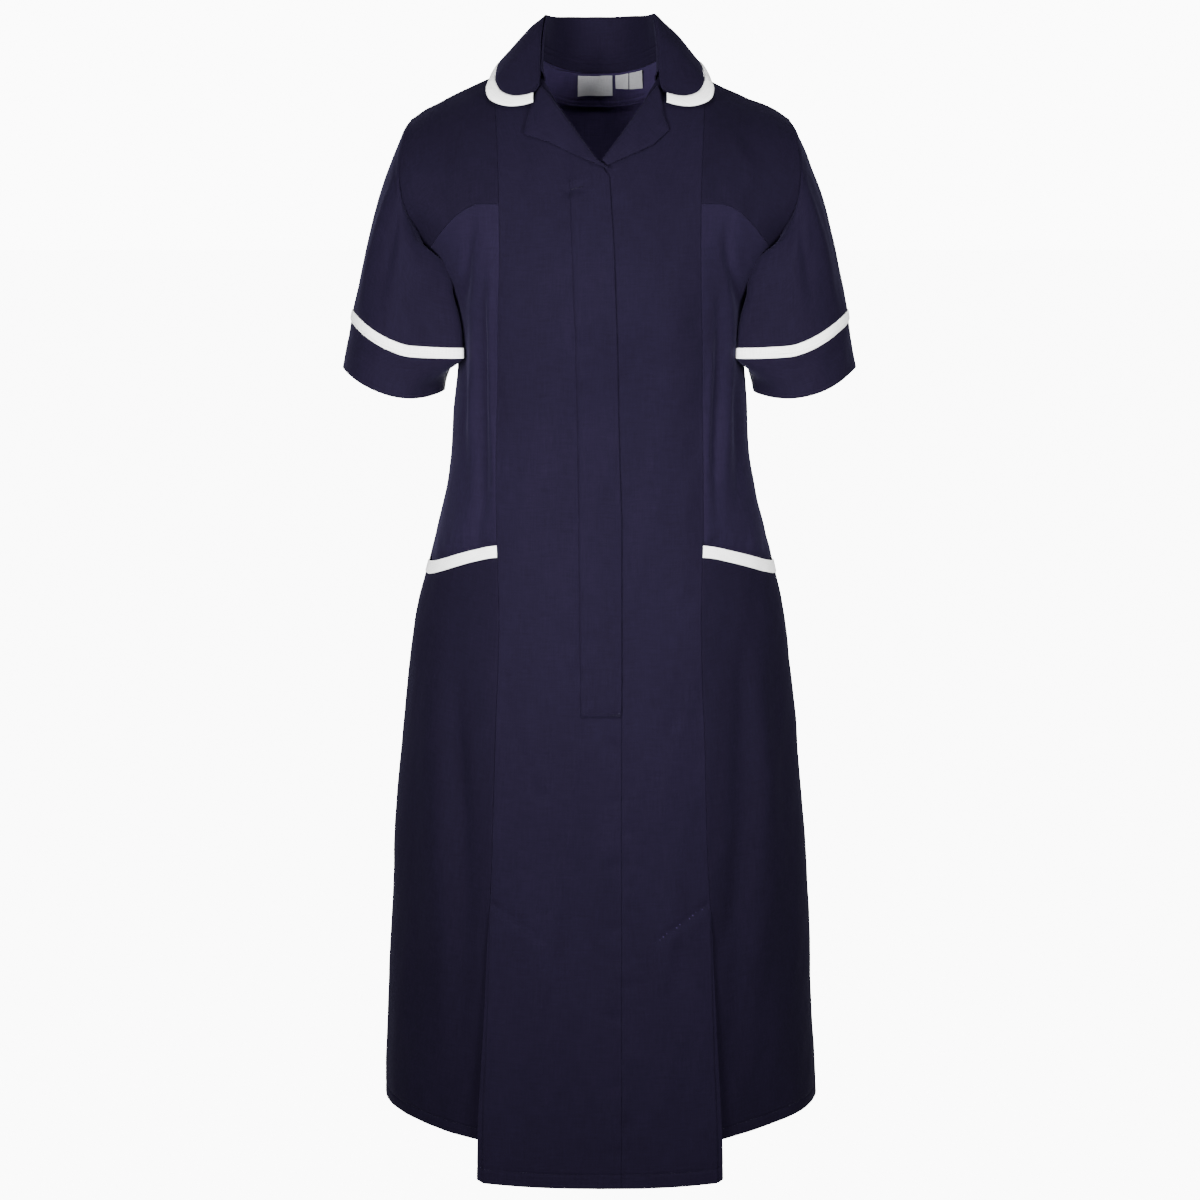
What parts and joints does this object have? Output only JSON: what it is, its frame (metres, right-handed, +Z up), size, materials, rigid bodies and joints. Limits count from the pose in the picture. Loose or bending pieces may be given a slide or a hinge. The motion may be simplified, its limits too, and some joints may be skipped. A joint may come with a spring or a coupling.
{
  "type": "nurse uniform dress",
  "caption": "Short-sleeved navy nurse uniform dress with white-edged revere collar, concealed front placket, trimmed hip pockets and kick pleats, in worn hollow form.",
  "frame": {"origin": "between the shoulder points, where the wearer's shoulders hold the dress", "axes": "+Z up, the dress faces -Y, and the wearer's left side is at +X"},
  "size_m": [0.4926, 0.3125, 1.1057],
  "materials": {
    "navy_twill": "fine poly-cotton twill, matt with a soft sheen",
    "white_trim": "white poly-cotton band, matt",
    "grey_label": "woven satin label, bare"
  },
  "bodies": {
    "root": {"front_right": "navy_twill", "front_left": "navy_twill", "placket": "navy_twill", "underlap": "navy_twill", "lapel_right": "navy_twill", "lapel_left": "navy_twill", "shoulder_front_right": "navy_twill", "shoulder_front_left": "navy_twill", "side_front_right": "navy_twill", "side_front_left": "navy_twill", "side_skirt_right": "navy_twill", "side_skirt_left": "navy_twill", "pleat_right": "navy_twill", "pleat_left": "navy_twill", "back": "navy_twill", "side_back_right": "navy_twill", "side_back_left": "navy_twill", "sleeve_right": "navy_twill", "sleeve_left": "navy_twill", "cuff_right": "navy_twill", "cuff_left": "navy_twill", "collar_stand": "navy_twill", "collar": "navy_twill", "neck_facing": "navy_twill", "pocket_trim_right": "white_trim", "pocket_trim_left": "white_trim", "sleeve_trim_right": "white_trim", "sleeve_trim_left": "white_trim", "collar_trim": "white_trim", "neck_label": "grey_label", "size_tab": "grey_label", "length_tab": "grey_label"}
  },
  "joints": []
}
